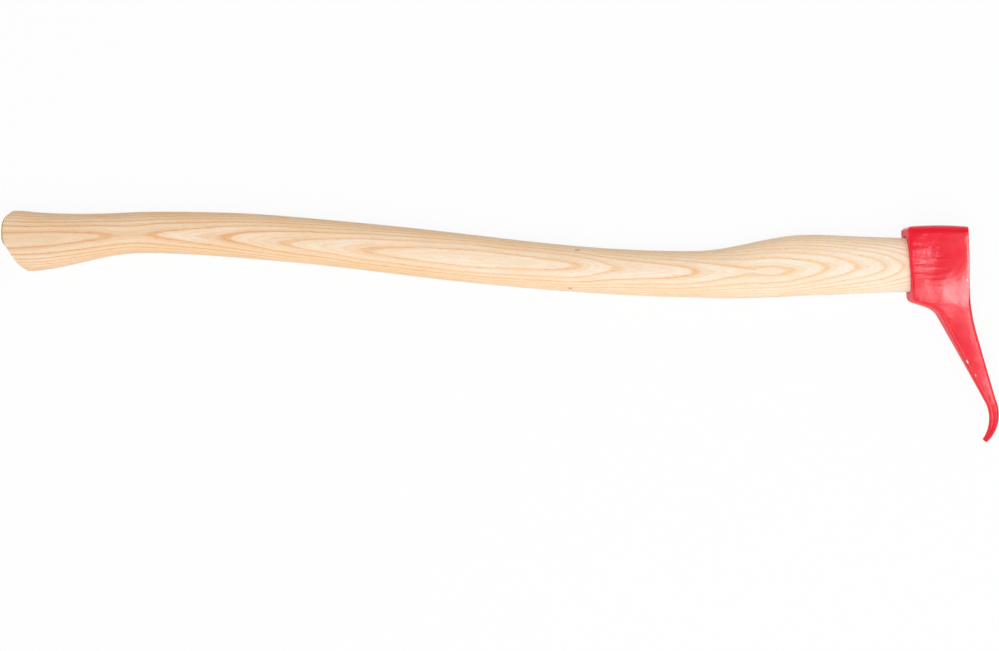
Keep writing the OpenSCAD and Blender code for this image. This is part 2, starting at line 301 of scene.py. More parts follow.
def handle_rings():
    rings = []
    for step in range(CHAMFER_STEPS):
        a = math.radians(90 * step / CHAMFER_STEPS)
        inset = BUTT_CHAMFER * (1 - math.sin(a))
        back = BUTT_CHAMFER * (1 - math.cos(a))
        rings.append(handle_ring(FOOT, 1.0, inset, back))
    start = butt_x + BUTT_REACH
    for step in range(BUTT_STEPS):
        rings.append(handle_ring(start, 1 - step / BUTT_STEPS, 0.0, BUTT_CHAMFER))
    count = round((tenon_end - start) / RING_PITCH)
    for step in range(count + 1):
        rings.append(handle_ring(mix(start, tenon_end, step / count)))
    return rings


rings = handle_rings()
handle = pull_rings("ash_handle", rings)
close_end(handle, 0, HANDLE_POINTS)
close_end(handle, (len(rings) - 1) * HANDLE_POINTS, HANDLE_POINTS)
face_outwards(handle)
report(handle)

# %% [markdown]
# The tenon's end is sawn down the middle and a wooden wedge opens it, and a steel ring wedge is
# driven in across both. Their slots are cut out of the handle with two small cutters, each a
# primitive put where the wedge is and made a hair larger.

# %% Cut the kerf and the ring's slot in the tenon
wedge_low, wedge_high = (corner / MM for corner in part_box("wooden_wedge"))
ring_low, ring_high = (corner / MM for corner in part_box("ring_wedge"))
KERF_SPARE = 5
WEDGE_EDGE = 1.2
RING_WALL = 1.6
PAST_END = 4
CUTTER_SIDES = 64


def kerf_cutter():
    """A block as tall as the tenon, tapered to the wedge's thin edge."""
    long = wedge_high.x - wedge_low.x + KERF_SPARE
    thick = wedge_high.z - wedge_low.z + 2 * FIT_GAP
    bpy.ops.object.select_all(action="DESELECT")
    bpy.ops.mesh.primitive_cube_add(size=MM)
    block = bpy.context.object
    for vert in block.data.vertices:
        inner = vert.co.x < 0
        height = (WEDGE_EDGE + 2 * FIT_GAP if inner else thick) / 2
        x = wedge_high.x - long if inner else wedge_high.x + PAST_END
        y = math.copysign(EYE_DEEP, vert.co.y)
        vert.co = Vector((x, y, middle_z + math.copysign(height, vert.co.z))) * MM
    return block


def ring_cutter():
    """A tube round the ring wedge, from a cylinder with its inside taken out."""
    outer = (ring_high.y - ring_low.y) / 2 + FIT_GAP
    inner = outer - RING_WALL - 2 * FIT_GAP
    long = ring_high.x - ring_low.x + PAST_END
    middle = Vector((ring_low.x + long / 2, 0, middle_z)) * MM
    tubes = []
    for radius, length in ((outer, long), (inner, long + PAST_END)):
        bpy.ops.object.select_all(action="DESELECT")
        bpy.ops.mesh.primitive_cylinder_add(
            vertices=CUTTER_SIDES, radius=radius * MM, depth=length * MM,
            location=middle, rotation=(0, math.pi / 2, 0),
        )
        bpy.ops.object.transform_apply(location=True, rotation=True, scale=True)
        tubes.append(bpy.context.object)
    cut_away(tubes[0], tubes[1])
    return tubes[0]


cut_away(handle, kerf_cutter())
cut_away(handle, ring_cutter())
smooth(handle, degrees=32)
report(handle)

# %% [markdown]
# ## The head's shape
# The head is one forging: a socket with an oval eye, whose cheeks run down into a long pick that
# tapers, thins and curls back at its tip. It is modelled as rows across the tool, each a rounded
# rectangle between a line on the handle's side and a line on the far side. The rows start at the
# crown, go down the socket, fan out round its underside and follow the pick round its curl. The crown
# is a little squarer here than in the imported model, so that its edge doesn't catch the light.

# %% Driving sizes of the head
CROWN_RISE = 32.9
CROWN_ROUND = 7
CROWN_POWER = 3.6
CROWN_BOW = 0.9
CROWN_MOUTH_CORNER = 5.5
CROWN_FACE_CORNER = 1.5
MOUTH_LEAN = math.tan(math.radians(4.5))
FACE_LEAN = math.tan(math.radians(1.8))
EDGE_ROUND = 0.8
FAR_EDGE_ROUND = 0.7
LIP_DROP = 30.3
LIP_SLOPE = math.radians(18)
LIP_BEVEL = 4.5
ROOT_FILLET = 8
SOCKET_FOOT = 7 - LIP_DROP
OUTER_BEND = 21
ROOT_MID = Vector((13.2, -37.4))
ROOT_WIDE = 24.8
ROOT_THICK = 26
PICK_SLANT = math.radians(22.7)
SHANK_LONG = 83.4
CURL_WIDE = 8.2
CURL_THICK = 9
CURL_RADIUS = 30
CURL_ANGLE = math.radians(65)
TIP_WIDE = 4.4
TIP_THICK = 4.5
THIN_POWER = 1.4
PICK_ROUND = 2.4
CHEEK_DROP = 0.21
HANDLE_SIDE_DROP = 0.14

# The most of a row's size that its rounded corners take, and the share of the fan of rows under the
# socket at which its edges start to take the pick's rounding
ROUND_LIMIT = 0.96
PICK_ROUND_FROM = 0.6
CORNER_POINTS = 6
CHEEK_POINTS = 28
END_POINTS = 6

shank_along = Vector((math.sin(PICK_SLANT), -math.cos(PICK_SLANT)))
shank_side = Vector((math.cos(PICK_SLANT), math.sin(PICK_SLANT)))
root_left = ROOT_MID - shank_side * ROOT_WIDE / 2
root_right = ROOT_MID + shank_side * ROOT_WIDE / 2
curl_start = ROOT_MID + shank_along * SHANK_LONG
curl_left = curl_start - shank_side * CURL_WIDE / 2
curl_right = curl_start + shank_side * CURL_WIDE / 2
curl_centre = curl_start - shank_side * CURL_RADIUS


def mouth_point(y):
    return Vector((-MOUTH - y * MOUTH_LEAN, y))


def meeting(p, along, q, other):
    """Where the line from p meets the line from q."""
    gap = q - p
    return p + along * (gap.x * other.y - gap.y * other.x) / (along.x * other.y - along.y * other.x)


face_rise = Vector((-FACE_LEAN, 1))
pick_fall = (curl_right - root_right) / (root_right.y - curl_right.y)
outer_corner = meeting(Vector((FAR_FACE, 0)), face_rise, root_right, pick_fall)


def outer_point(y):
    """Place on the outer side: down the far face, round a soft bend and along the pick."""
    below = outer_corner.y - y
    if below < -OUTER_BEND:
        return Vector((FAR_FACE - y * FACE_LEAN, y))
    if below > OUTER_BEND:
        return Vector((outer_corner.x + pick_fall.x * below, y))
    t = (below / OUTER_BEND + 1) / 2
    top = outer_corner.x + face_rise.x * OUTER_BEND
    foot = outer_corner.x + pick_fall.x * OUTER_BEND
    x = top * (1 - t) ** 2 + outer_corner.x * 2 * t * (1 - t) + foot * t**2
    return Vector((x, y))


# %% [markdown]
# The cheeks run flat over the eye, roll over softly on a slant, and follow the pick as it thins. The
# hammer leaves them a little crowned, with one shallow hollow beside the mouth, and drawing the socket
# out leaves flutes that run in from its mouth and end raggedly. All of that is in the mesh, because
# gloss paint shows every slope.

# %% The height of the cheek
CHEEK_SPARE = 0.7
CHEEK_ROLL = 2.4
ROLL_DROP = -6
LATE_DROP = 1.24
LATE_X = 14
LATE_LONG = 14.6
ROLL_SLANT = math.radians(28.9)
ROLL_TOP_Y = -20.3
ROLL_TALL = 16
HOLLOW_DEEP = 1.12
HOLLOW_X = -1.02
HOLLOW_Y = 1.01
HOLLOW_LONG = 14.8
HOLLOW_TALL = 14.2
FLUTE_PITCH = 7.2
FLUTE_SHIFT = 0.6
FLUTE_DEEP = 0.075
FLUTE_POWER = 5
FLUTE_REACH = 36
FLUTE_FADE = 10
FLUTE_WANDER = 0.25
FLUTE_RIPPLE = 0.12
FLUTE_RAGGED = 10
FLUTES_LOW_Y = -12
FLUTES_LOW_SOFT = 8
FLUTES_HIGH_Y = 32
FLUTES_HIGH_SOFT = 5
# How fast the noise of the flutes changes a mm along x and y, and the layer it is taken from
WANDER_RATE = (0.09, 0.12)
WANDER_LAYER = 3.1
RIPPLE_RATE = (0.16, 0.3)
RIPPLE_LAYER = 7.7
RAGGED_RATE = 0.27
RAGGED_LAYER = 1.7


def thinning(place):
    """Half of the pick's thickness at a place in side view, carried on up into the socket."""
    slant = mix(ROLL_SLANT, PICK_SLANT, soft((ROLL_TOP_Y - place.y) / ROLL_TALL))
    downhill = Vector((math.sin(slant), -math.cos(slant)))
    late = LATE_DROP * soft((LATE_X - place.x) / LATE_LONG)
    along = ((place - ROOT_MID).dot(downhill) - ROLL_DROP - late) / SHANK_LONG
    return CURL_THICK / 2 + (ROOT_THICK - CURL_THICK) / 2 * max(0.0, 1 - along) ** THIN_POWER


def rolled(place):
    """The lower of the flat cheek and the thinning pick, with a soft turn between them."""
    flat, thin = half_head + CHEEK_SPARE, thinning(place)
    return min(half_head, (flat + thin) / 2 - math.hypot((flat - thin) / 2, CHEEK_ROLL))


def hollow(place):
    """Depth of the hollow beside the mouth."""
    x = (place.x - HOLLOW_X) / HOLLOW_LONG
    y = (place.y - HOLLOW_Y) / HOLLOW_TALL
    return HOLLOW_DEEP * math.exp(-(x * x + y * y) / 2)


def flute(place):
    """Depth of the drawing marks on the cheek at a place."""
    x, y = place
    wander = noise.noise(Vector((x * WANDER_RATE[0], y * WANDER_RATE[1], WANDER_LAYER)))
    ripple = noise.noise(Vector((x * RIPPLE_RATE[0], y * RIPPLE_RATE[1], RIPPLE_LAYER)))
    ragged = FLUTE_REACH + FLUTE_RAGGED * noise.noise(Vector((RAGGED_LAYER, y * RAGGED_RATE, 0)))
    from_mouth = x - mouth_point(y).x
    fade = 1 - soft((from_mouth - ragged + FLUTE_FADE) / FLUTE_FADE)
    above = soft((y - FLUTES_LOW_Y) / FLUTES_LOW_SOFT)
    below = soft((FLUTES_HIGH_Y - y) / FLUTES_HIGH_SOFT)
    turn = y / FLUTE_PITCH + FLUTE_SHIFT + FLUTE_WANDER * wander + FLUTE_RIPPLE * ripple
    wave = 0.5 + 0.5 * math.sin(math.tau * turn)
    return FLUTE_DEEP * (1 - wave**FLUTE_POWER) * fade * above * below


def cheek(left, right, half_z, s):
    """Height of the cheek over the middle plane at a share s from left to right."""
    place = left.lerp(right, s)
    drop = CHEEK_DROP if s > 0.5 else CHEEK_DROP * HANDLE_SIDE_DROP
    crowned = drop * (2 * s - 1) ** 2 * min(1.0, (right - left).length / ROOT_WIDE)
    return half_z - crowned - (flute(place) + hollow(place)) * min(1.0, half_z / half_head)


# %% One row across the head
def head_row(left, right, half_z, round_left, round_right, bow=0.0):
    """A rounded rectangle from left to right, as thick each way from the middle as half_z tells."""
    span = right - left
    along = span.normalized()
    limit = min(half_z(left), half_z(right), span.length / 2) * ROUND_LIMIT
    ends = ((right, min(round_right, limit), 1), (left, min(round_left, limit), -1))
    side = []
    for end, radius, way in ends:
        arc = range(CORNER_POINTS + 1)
        for k in arc if way > 0 else reversed(arc):
            a = math.radians(90 * k / CORNER_POINTS)
            flat = end - along * way * radius * (1 - math.cos(a))
            side.append((flat, radius * (1 - math.sin(a))))
        if way > 0:
            inner = end - along * radius
            far = left + along * ends[1][1]
            side += [(inner.lerp(far, k / CHEEK_POINTS), 0.0) for k in range(1, CHEEK_POINTS)]
    row = []
    for sign, points in ((1, side), (-1, side[::-1])):
        for flat, down in points:
            s = (flat - left).dot(along) / span.length
            y = flat.y - bow * (2 * s - 1) ** 2
            z = cheek(left, right, half_z(flat), s) - down
            row.append((flat.x, y, middle_z + sign * z))
        for k in range(1, END_POINTS):
            row.append((row[-1][0], row[-1][1], middle_z + sign * z * (1 - 2 * k / END_POINTS)))
    return row


# %% Rows of the crown and the socket
CROWN_ANGLES = [3, 8, 14, 21, 29, 38, 47, 56, 65, 74, 82, 90]
SOCKET_STEPS = 46


def corner_step(y, radius):
    """How far a corner of the crown, seen from the side, is rounded in at a height y."""
    left = max(0.0, radius - (CROWN_RISE - y))
    return Vector((radius - math.sqrt(radius**2 - left**2), 0))


def crown_thick(share, place):
    """A share of the thickness that the head has further down, for the rounded crown."""
    return rolled(place) * share


def crown_rows():
    rows = []
    for degrees in CROWN_ANGLES:
        a = math.radians(degrees)
        y = CROWN_RISE - CROWN_ROUND * (1 - math.cos(a) ** (2 / CROWN_POWER))
        share = math.sin(a) ** (2 / CROWN_POWER)
        bow = CROWN_BOW * math.cos(a)
        left = mouth_point(y) + corner_step(y, CROWN_MOUTH_CORNER)
        right = outer_point(y) - corner_step(y, CROWN_FACE_CORNER)
        thick = partial(crown_thick, share)
        rows.append(head_row(left, right, thick, EDGE_ROUND, FAR_EDGE_ROUND, bow))
    return rows


def socket_rows():
    top = CROWN_RISE - CROWN_ROUND
    rows = []
    for step in range(1, SOCKET_STEPS + 1):
        y = mix(top, SOCKET_FOOT, step / SOCKET_STEPS)
        rows.append(head_row(mouth_point(y), outer_point(y), rolled, EDGE_ROUND, FAR_EDGE_ROUND))
    return rows


# %% Rows that fan out round the underside
LIP_STEPS = 3
LIP_ROUND = 3.5
LIP_ROUND_STEPS = 4
UNDERSIDE_STEPS = 7
FILLET_STEPS = 7


def bent(start, corner, end, t):
    """Place on the soft curve from start to end that the corner pulls towards itself."""
    return start.lerp(corner, t).lerp(corner.lerp(end, t), t)


def underside_places():
    """Places on the handle's side, down the mouth to the lip and along to the pick."""
    along = Vector((math.cos(LIP_SLOPE), -math.sin(LIP_SLOPE)))
    lip = mouth_point(-LIP_DROP)
    corner = meeting(lip, along, root_left, curl_left - root_left)
    start = corner - along * ROOT_FILLET
    above = mouth_point(LIP_ROUND - LIP_DROP)
    beside = lip + along * LIP_ROUND
    foot = mouth_point(SOCKET_FOOT)
    places = [foot.lerp(above, k / LIP_STEPS) for k in range(1, LIP_STEPS)]
    places += [bent(above, lip, beside, k / LIP_ROUND_STEPS) for k in range(LIP_ROUND_STEPS)]
    places += [beside.lerp(start, k / UNDERSIDE_STEPS) for k in range(UNDERSIDE_STEPS)]
    places += [bent(start, corner, root_left, k / FILLET_STEPS) for k in range(FILLET_STEPS)]
    return places


def root_rows():
    rows = []
    places = underside_places()
    for k, left in enumerate(places):
        t = (k + 1) / (len(places) + 1)
        y = mix(SOCKET_FOOT, root_right.y, t)
        right = outer_point(y)
        round_left = mix(EDGE_ROUND, LIP_BEVEL, soft((k - LIP_STEPS + 1) / LIP_ROUND_STEPS))
        as_pick = soft((t - PICK_ROUND_FROM) / (1 - PICK_ROUND_FROM))
        round_left = mix(round_left, PICK_ROUND, as_pick)
        round_right = mix(FAR_EDGE_ROUND, PICK_ROUND, t)
        rows.append(head_row(left, right, rolled, round_left, round_right))
    return rows


# %% Rows of the pick and its curl
SHANK_STEPS = 40
CURL_STEPS = 30


def shank_rows():
    rows = []
    for k in range(SHANK_STEPS):
        t = k / SHANK_STEPS
        middle = ROOT_MID + shank_along * SHANK_LONG * t
        half = shank_side * mix(ROOT_WIDE, CURL_WIDE, t) / 2
        right = outer_point((middle + half).y)
        rows.append(head_row(middle - half, right, rolled, PICK_ROUND, PICK_ROUND))
    return rows


def curl_thick(half, place):
    """The same half thickness at every place across a row of the curl."""
    return half


def curl_rows():
    rows = []
    for k in range(CURL_STEPS + 1):
        t = k / CURL_STEPS
        a = PICK_SLANT - CURL_ANGLE * t
        side = Vector((math.cos(a), math.sin(a)))
        middle = curl_centre + side * CURL_RADIUS
        half = side * mix(CURL_WIDE, TIP_WIDE, t * t) / 2
        thick = partial(curl_thick, mix(rolled(curl_start), TIP_THICK / 2, t))
        rows.append(head_row(middle - half, middle + half, thick, PICK_ROUND, PICK_ROUND))
    return rows


rows = crown_rows() + socket_rows() + root_rows() + shank_rows() + curl_rows()
head = pull_rings("forged_head", rows)


def fill_end(piece, first, count):
    """Closes a flat end with one face."""
    bpy.ops.object.mode_set(mode="EDIT")
    select_points(piece, range(first, first + count))
    bpy.ops.mesh.edge_face_add()
    bpy.ops.object.mode_set(mode="OBJECT")


fill_end(head, 0, len(rows[0]))
fill_end(head, (len(rows) - 1) * len(rows[0]), len(rows[0]))
face_outwards(head)
report(head)

# %% [markdown]
# The smith drifts the eye through the hot blank with a tapered oval punch. The cutter is that punch:
# it opens the mouth a little, runs straight to the middle and flares to the far face, so that the
# wedge can spread the wood there.

# %% Punch the eye
EYE_POINTS = 72
MOUTH_OPEN = 1.0
PUNCH_PAST = 12


def eye_ring(x, grown):
    """One oval across the eye at x, grown by this much each side."""
    ring = []
    for i in range(EYE_POINTS):
        a = math.tau * (0.25 - i / EYE_POINTS)
        up = signed_power(math.sin(a), 2 / OVAL_POWER)
        out = signed_power(math.cos(a), 2 / OVAL_POWER)
        ring.append((x, (EYE_DEEP / 2 + grown) * up, middle_z + (EYE_WIDE / 2 + grown) * out))
    return ring


def eye_punch():
    lean = LIP_DROP * MOUTH_LEAN
    far = FAR_FACE + PUNCH_PAST
    rings = [
        eye_ring(-MOUTH - PUNCH_PAST, MOUTH_OPEN),
        eye_ring(-MOUTH - lean, MOUTH_OPEN),
        eye_ring(-MOUTH + lean + MOUTH_OPEN, 0),
        eye_ring(0, 0),
        eye_ring(far, flare_at(far)),
    ]
    punch = pull_rings("eye_punch", rings)
    fill_end(punch, 0, EYE_POINTS)
    fill_end(punch, (len(rings) - 1) * EYE_POINTS, EYE_POINTS)
    face_outwards(punch)
    return punch


cut_away(head, eye_punch())
smooth(head, degrees=35)
report(head)

# %% [markdown]
# ## Helpers for materials
# Colours are written as sRGB hex values, the way a paint shop or a colour picker gives them, and turned
# to linear light by one function. Another one adds a node with its settings and its links, and a few
# more add what is needed often: streaks, ranges, blends of two colours and spots.

# %% Colours and nodes
PER_MM = (1 / MM, 1 / MM, 1 / MM)


def linear(hex_colour):
    """Linear RGBA of an sRGB hex colour, by the standard's own curve."""
    values = []
    for place in (1, 3, 5):
        part = int(hex_colour[place : place + 2], 16) / 255
        values.append(part / 12.92 if part <= 0.04045 else ((part + 0.055) / 1.055) ** 2.4)
    return (*values, 1.0)


def add_node(tree, kind, inputs=(), output=0, **settings):
    """Adds a node and gives one of its outputs. Its inputs come in order or by name."""
    new = tree.nodes.new("ShaderNode" + kind)
    for key, value in settings.items():
        setattr(new, key, value)
    named = inputs if isinstance(inputs, dict) else dict(enumerate(inputs))
    for key, value in named.items():
        if isinstance(value, bpy.types.NodeSocket):
            tree.links.new(value, new.inputs[key])
        else:
            new.inputs[key].default_value = value
    return new.outputs[output] if len(new.outputs) else None


def new_material(name):
    """An empty material, and add_node for its tree."""
    material = bpy.data.materials.new(name)
    material.use_nodes = True
    material.node_tree.nodes.clear()
    return material, partial(add_node, material.node_tree)


def streaks(add, place, factors, detail=2.0, roughness=0.5):
    """Noise stretched along the axes: each factor is one over the size of its grains there."""
    stretched = add("VectorMath", (place, factors), operation="MULTIPLY")
    return add(
        "TexNoise", {"Vector": stretched, "Scale": 1.0, "Detail": detail, "Roughness": roughness}
    )


def ranged(add, value, across, onto=(0, 1), **settings):
    """Carries a value from one range onto another, and stops at its ends."""
    ends = {"From Min": across[0], "From Max": across[1], "To Min": onto[0], "To Max": onto[1]}
    return add("MapRange", {"Value": value, **ends}, **settings)


def blend(add, share, first, second):
    """The first colour where the share is 0 and the second where it is 1."""
    return add("Mix", {0: share, 6: first, 7: second}, 2, data_type="RGBA")


NO_MARK = 10.0
RAGGED_RIM = 0.8


def spots(add, place, ragged, marks):
    """How far each point lies from the nearest mark's middle, as a share of that mark's size."""
    nearest = NO_MARK
    for x, y, half_long, half_wide, turn in marks:
        mapped = add(
            "Mapping",
            {
                "Vector": place, "Location": (x, y, 0), "Rotation": (0, 0, math.radians(turn)),
                "Scale": (half_long, half_wide, 1),
            },
            vector_type="TEXTURE",
        )
        flat = add("VectorMath", (mapped, (1, 1, 0)), operation="MULTIPLY")
        far = add("VectorMath", (flat,), "Value", operation="LENGTH")
        nearest = add("Math", (nearest, far), operation="MINIMUM")
    return add("Math", (ragged, RAGGED_RIM, nearest), operation="MULTIPLY_ADD")


# %% [markdown]
# ## Ash wood
# Ash is pale and ring-porous: each year ends in a band that shows as a warm line, sharp on one side
# and soft on the other. The handle is sawn along the rings, so on its broad side the lines close in
# long pointed arches, and round its edges they run close together. One field of years gives all of
# that: it falls off with the depth under the surface and away from the middle of the arches, and
# rises and falls along the handle. The mesh carries each point's place in that field.

# %% Give the handle's points their place in the tree
# The middle of the arches along the handle, and the year on it, as (x, value)
ARCH_LINE = [
    (butt_x, 19), (-695, 22.5), (-644, 24), (-587, 21), (-539, 16.3), (-473, 10.4), (-298, -0.6),
    (-206, -5.8), (-123, -6.4), (-96, -3.5), (-32, -2), (40, -2),
]
YEARS = [
    (butt_x, 0.42), (-735, 0.36), (-695, 0.0), (-668, -0.45), (-644, 0.0), (-587, 1.0), (-539, 2.0),
    (-473, 3.0), (-386, 3.6), (-298, 3.0), (-274, 2.0), (-206, 1.0), (-178, 0.3), (-160, -0.05),
    (-141, 0.22), (-123, 0.0), (-96, -1.0), (-70, -2.0), (-44, -3.0), (-32, -4.0), (40, -8.0),
]
ROUNDED_OVER = 10.0
TAPS = 3


def along_line(x, points):
    """Value at x on straight runs between points."""
    for (x0, v0), (x1, v1) in zip(points, points[1:]):
        if x <= x1:
            return mix(v0, v1, (x - x0) / (x1 - x0))
    return points[-1][1]


def smoothed(x, points):
    """The straight runs with their corners rounded over."""
    total = 0.0
    for k in range(-TAPS, TAPS + 1):
        total += along_line(max(points[0][0], x + ROUNDED_OVER * k / TAPS), points)
    return total / (2 * TAPS + 1)


handle.data.attributes.new("tree", "FLOAT_VECTOR", "POINT")
handle.data.attributes.new("year", "FLOAT", "POINT")
place_in_tree = handle.data.attributes["tree"].data
year_of_point = handle.data.attributes["year"].data
for vert in handle.data.vertices:
    x, y, z = vert.co / MM
    depth = middle_z + half_thickness(x) - z
    place_in_tree[vert.index].vector = (x, y - smoothed(x, ARCH_LINE), depth)
    year_of_point[vert.index].value = smoothed(x, YEARS)
print("years from", YEARS[-1][1], "to", max(year for _, year in YEARS))

# %% [markdown]
# The years fall by one every 2.5 mm of depth, and away from the middle a little faster than straight,
# which points the arches. Slow noise lets the rings wander, each ring has its own strength, finer lines
# run between them, and long fine fibres and pores break the colour up. Painted light makes the head end
# paler and the grip end warmer and darker, and painted shade makes the rounded edges of the long middle
# warmer and darker than its broad sides. Faces that look along the handle are darker: end grain, which
# drinks more oil, and painted shade on the butt's chamfer.

# %% Make the ash
YEARS_PER_DEPTH = 0.40
YEARS_PER_SIDE = 0.065
YEARS_PER_BEND = 0.0038
ARCH_TIP = 3.0
WANDER = 0.6
JITTER = 0.14
YEARS_LIFT = 50
# Each ring's strength, the strength of the finer lines between, and how the fibres break them up
RING_LEAST = 0.55
RING_MORE = 0.4
FINE_LINES = 4
FINE_STRENGTH = 0.09
UNBROKEN = 0.38
BROKEN = 1.2
# Rates of the noises a mm along the handle, across it and into it
SLOW_RATE = (0.011, 0.05, 0.05)
FAST_RATE = (0.05, 0.35, 0.35)
FIBRE_RATE = (0.05, 1.3, 1.3)
SPECK_RATE = (0.3, 1.1, 1.1)
BROAD_RATE = (0.02, 0.11, 0.11)
PORE_RATE = (0.18, 2.6, 2.6)
# How much each noise warms the wood, and what the warmth starts from
FIBRE_WARMTH = 1.2
SPECK_WARMTH = 0.9
BROAD_WARMTH = 1.0
WARMTH_START = -1.05
# Painted shade at the butt, painted light at the mouth and painted shade on the rounded edges of the
# long middle
BUTT_PAINTED_SHADE = 0.3
MOUTH_PAINTED_LIGHT = -0.4
EDGE_PAINTED_SHADE = 0.34
EDGE_SHADE_DEPTHS = (0.2, 1.8)
LONG_MIDDLE = -380
LONG_MIDDLE_ENDS = (260, 360)
# The lines are paler where the painted light makes the wood paler
PALE_START = 0.5
PALE_BY_PAINTED_LIGHT = -1.6
# Pores: where they start and are full, how dark they are, and how many lie between the bands
PORE_RANGE = (0.6, 0.75)
PORE_DARK = 0.6
PORES_BETWEEN = 0.15
FLECK_RANGE = (1.7, 0.9)
FLECK_DARK = 0.75
# End grain, and the painted shade on the butt's chamfer, show where a face looks this much along the
# handle
END_FACING = (0.25, 0.45)
END_AND_CHAMFER_SHADE = 0.85
# The surface: how the bands and fibres lie in it, how rough it is and how much it mirrors
BAND_SUNK = -0.4
WOOD_BUMP = 0.15
WOOD_BUMP_DEEP = 0.2
WOOD_ROUGH = 0.4
FIBRE_ROUGH = 0.2
WOOD_IOR = 1.38
BAND_STOPS = [(0.0, 0.0), (0.42, 0.0), (0.72, 0.4), (0.9, 1.0), (0.96, 0.85), (1.0, 0.0)]
# Small dark flecks: middle, half length, half width and turn in degrees
FLECKS = [(-299, 12.5, 2.4, 0.6, 4), (-305.2, -19.3, 2.2, 0.5, -2)]
ASH = {
    "light": "#FEF0DE", "warm": "#F7D5AC", "line": "#EAA568", "pale_line": "#F8C78B",
    "pore": "#B0764A", "end": "#B98252",
}
BEECH = {
    "light": "#DDB68A", "warm": "#C99B68", "line": "#A97747", "pale_line": "#A97747",
    "pore": "#8E6238", "end": "#A97747",
}


def field_of_years(add, place, year):
    """The year at each point, with its wandering."""
    side = add("SeparateXYZ", (place,), "Y")
    depth = add("SeparateXYZ", (place,), "Z")
    bend = add("Math", (side, side), operation="MULTIPLY")
    tip = add("Math", (bend, ARCH_TIP**2), operation="ADD")
    tip = add("Math", (tip,), operation="SQRT")
    fall = add("Math", (depth, YEARS_PER_DEPTH), operation="MULTIPLY")
    fall = add("Math", (tip, YEARS_PER_SIDE, fall), operation="MULTIPLY_ADD")
    fall = add("Math", (bend, YEARS_PER_BEND, fall), operation="MULTIPLY_ADD")
    level = add("Math", (year, fall), operation="SUBTRACT")
    slow = streaks(add, place, SLOW_RATE)
    fast = streaks(add, place, FAST_RATE, detail=3.0)
    level = add("Math", (slow, WANDER, level), operation="MULTIPLY_ADD")
    level = add("Math", (fast, JITTER, level), operation="MULTIPLY_ADD")
    # Both noises are 0.5 on average. The lift keeps the count above zero.
    lift = YEARS_LIFT + YEARS_PER_SIDE * ARCH_TIP - (WANDER + JITTER) / 2
    return add("Math", (level, lift), operation="ADD")


def year_lines(add, years, fibre):
    """How strongly each point is coloured by a year's dark band and by the fine lines between."""
    ramp = add("ValToRGB", (add("Math", (years,), operation="FRACT"),), "Color")
    stops = ramp.node.color_ramp
    stops.interpolation = "EASE"
    while len(stops.elements) < len(BAND_STOPS):
        stops.elements.new(0.5)
    for element, (position, value) in zip(stops.elements, BAND_STOPS):
        element.position = position
        element.color = (value, value, value, 1)
    ring = add("Math", (years,), operation="FLOOR")
    strength = add("TexWhiteNoise", {"W": ring}, "Value", noise_dimensions="1D")
    strength = add("Math", (strength, RING_MORE, RING_LEAST), operation="MULTIPLY_ADD")
    fine = add("Math", (years, math.tau * FINE_LINES), operation="MULTIPLY")
    fine = add("Math", (fine,), operation="SINE")
    fine = add("Math", (fine, FINE_STRENGTH, FINE_STRENGTH), operation="MULTIPLY_ADD")
    band = add("Math", (ramp, strength, fine), operation="MULTIPLY_ADD")
    broken = add("Math", (fibre, BROKEN, UNBROKEN), operation="MULTIPLY_ADD")
    return add("Math", (band, broken), operation="MULTIPLY")


